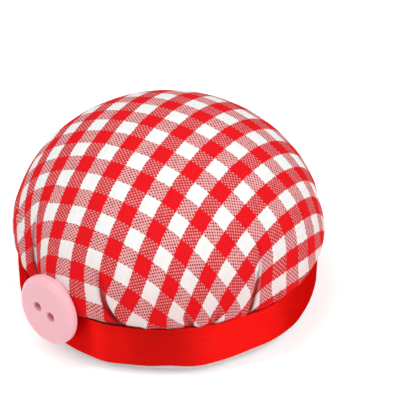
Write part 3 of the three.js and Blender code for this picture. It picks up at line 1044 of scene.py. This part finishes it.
felt = dress(make_felt(), felt_material())
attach(felt, "cushion")
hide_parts("felt_backing")

elastic = elastic_material()
leg_path, tab_path = strap_paths()
leg_length, tab_length = (np.linalg.norm(np.diff(p, axis=0), axis=1).sum() for p in (leg_path, tab_path))
for end_name, side in (("right", 1), ("left", -1)):
    leg = dress(make_band("strap_" + end_name, side, leg_path, 80, 0.0), elastic)
    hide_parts("wrist_strap")
    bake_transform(leg)
    tab = dress(make_band("strap_tab_" + end_name, side, tab_path, 40, leg_length), elastic)
    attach(tab, "cushion")
    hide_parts("strap_end_" + end_name)

# Solids that stay: material name, two colours of its speckle, its scale, roughness and depth
INNER_FINISHES = {
    "base_card": ("card", (0.40, 0.37, 0.31), (0.55, 0.51, 0.44), 900, 0.9, 0.00005),
    "gathering_thread": ("thread", (0.78, 0.77, 0.74), (0.90, 0.89, 0.87), 1500, 0.8, 0.0001),
    "glue_dab": ("glue", (0.80, 0.77, 0.70), (0.86, 0.84, 0.78), 300, 0.35, 0.00004),
}
for node, finish in INNER_FINISHES.items():
    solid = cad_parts[node]
    solid.data.materials.clear()
    solid.data.materials.append(speckled_material(*finish))


# Floor: white to the camera by a glow, which fades where the object stands within CONTACT_REACH metres

FLOOR_HALF = 3.0
CONTACT_REACH = 0.0020
CONTACT_OPEN = (0.42, 0.70)
FLOOR_GLOW = 0.41


def make_floor():
    mesh = bpy.data.meshes.new("floor")
    corner_signs = ((-1, -1), (1, -1), (1, 1), (-1, 1))
    mesh.from_pydata([(x * FLOOR_HALF, y * FLOOR_HALF, 0) for x, y in corner_signs], [], [(0, 1, 2, 3)])
    obj = bpy.data.objects.new("floor", mesh)
    bpy.context.collection.objects.link(obj)
    n = new_material("floor")
    n.set(Base_Color=(0.93, 0.93, 0.93), Roughness=0.9, Specular_IOR_Level=0.0)
    path = n.add("ShaderNodeLightPath")
    seen = n.math("MAXIMUM", path.outputs["Is Camera Ray"], path.outputs["Is Glossy Ray"])
    seen = n.math("MAXIMUM", seen, path.outputs["Is Transmission Ray"])
    open_sky = n.add("ShaderNodeAmbientOcclusion")
    open_sky.inputs["Distance"].default_value = CONTACT_REACH
    glow = n.ramp(open_sky.outputs["AO"], *CONTACT_OPEN, 0.0, FLOOR_GLOW)
    n.set(Emission_Color=(1.0, 1.0, 1.0), Emission_Strength=n.math("MULTIPLY", seen, glow))
    mesh.materials.append(n.owner)


# World: its level, and where the horizon is dimmer: azimuth, half width and soft edge in degrees, share of
# the level that is left

WORLD_LEVEL = 0.68
WORLD_DIM = ((-12.0, 20.0, 16.0, 0.12), (124.0, 32.0, 30.0, 0.5), (180.0, 70.0, 50.0, 0.55))


def make_world():
    """White all round, dimmer at the back and right back, dimmest at the front where the camera stands."""
    world = bpy.data.worlds.new("studio")
    bpy.context.scene.world = world
    n = Nodes(world, "Background")
    split = n.add("ShaderNodeSeparateXYZ")
    n.plug(n.add("ShaderNodeTexCoord").outputs["Generated"], split.inputs[0])
    azimuth = n.math("ARCTAN2", split.outputs[0], n.math("MULTIPLY", split.outputs[1], -1.0))
    level = WORLD_LEVEL
    for centre, half_width, soft, share in WORLD_DIM:
        away = n.math("SUBTRACT", azimuth, math.radians(centre))
        away = n.math("ARCCOSINE", n.math("COSINE", away))
        inner, outer = math.radians(half_width - soft / 2), math.radians(half_width + soft / 2)
        level = n.math("MULTIPLY", level, n.ramp(away, inner, outer, share, 1.0))
    n.set(Color=(1.0, 1.0, 1.0), Strength=level)


# Soft lamps, all at one distance in metres from the cushion's middle: azimuth and elevation in degrees, size
# in metres, watts

LIGHT_DISTANCE = 0.7
LIGHT_TARGET = Vector((0, 0, 0.02))
LIGHTS = (
    ("top_softbox", 170, 80, (0.8, 0.6), 0.72),
    ("right_softbox", 56, 36, (0.68, 0.5), 1.8),
    ("left_strip", -66, 63, (0.11, 0.7), 1.8),
)


def make_light(name, azimuth, elevation, size, power):
    data = bpy.data.lights.new(name, "AREA")
    data.shape = "RECTANGLE"
    data.size, data.size_y = size
    data.energy = power
    obj = bpy.data.objects.new(name, data)
    bpy.context.collection.objects.link(obj)
    a, e = math.radians(azimuth), math.radians(elevation)
    towards = Vector((math.sin(a) * math.cos(e), -math.cos(a) * math.cos(e), math.sin(e)))
    obj.location = towards * LIGHT_DISTANCE + LIGHT_TARGET
    obj.rotation_euler = towards.to_track_quat("Z", "Y").to_euler()


# Camera at the photograph's viewing angle. The image is IMAGE_SIZE pixels square, and the target, at a height
# above the ribbon's bottom on the cushion's axis, falls on TARGET_PIXEL

IMAGE_SIZE = 400
SENSOR_WIDTH = 36.0
ELEVATION = math.radians(36.12)
FOCAL_PIXELS = 2159.9
DISTANCE = 450.0
TARGET_HEIGHT = 17.0
TARGET_PIXEL = (167.85, 207.68)


def make_camera():
    target = np.array([0, 0, RIBBON_BOTTOM + TARGET_HEIGHT])
    back = np.array([0, -math.cos(ELEVATION), math.sin(ELEVATION)])
    right = np.array([1.0, 0, 0])
    up = np.array([0, math.sin(ELEVATION), math.cos(ELEVATION)])
    eye = target + back * DISTANCE
    aim = target + right * ((IMAGE_SIZE / 2 - TARGET_PIXEL[0]) / FOCAL_PIXELS * DISTANCE)
    aim = aim - up * ((IMAGE_SIZE / 2 - TARGET_PIXEL[1]) / FOCAL_PIXELS * DISTANCE)
    data = bpy.data.cameras.new("camera")
    data.sensor_width = SENSOR_WIDTH
    data.lens = FOCAL_PIXELS / IMAGE_SIZE * SENSOR_WIDTH
    data.clip_start = 0.01
    camera = bpy.data.objects.new("camera", data)
    bpy.context.collection.objects.link(camera)
    camera.location = Vector(eye * MM)
    camera.rotation_euler = Vector((eye - aim) * MM).to_track_quat("Z", "Y").to_euler()
    bpy.context.scene.camera = camera


make_floor()
make_world()
for light in LIGHTS:
    make_light(*light)
make_camera()
bpy.context.scene.view_settings.view_transform = "Standard"
